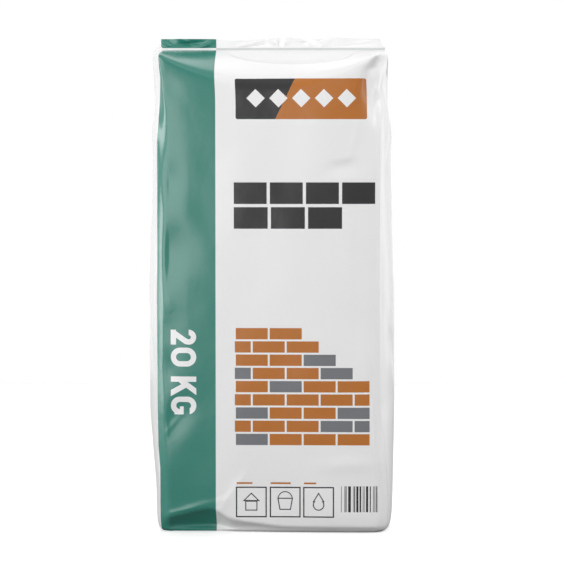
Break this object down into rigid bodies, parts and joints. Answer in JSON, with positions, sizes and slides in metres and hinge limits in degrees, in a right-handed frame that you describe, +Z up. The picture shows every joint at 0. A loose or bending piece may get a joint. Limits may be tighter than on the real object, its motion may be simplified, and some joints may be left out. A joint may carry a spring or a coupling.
{
  "type": "cement bag",
  "caption": "Filled plastic film cement sack with gusseted sides and a welded top fin, standing on its flat base.",
  "frame": {"origin": "on the floor under the middle of the sack's bounding box", "axes": "+Z up along the sack's height, front panel facing -Y, X across the front panel"},
  "size_m": [0.2858, 0.122, 0.5704],
  "materials": {
    "film": "gloss",
    "cement_powder": "matte"
  },
  "bodies": {
    "root": {"film_sack": "film", "cement": "cement_powder"}
  },
  "joints": []
}
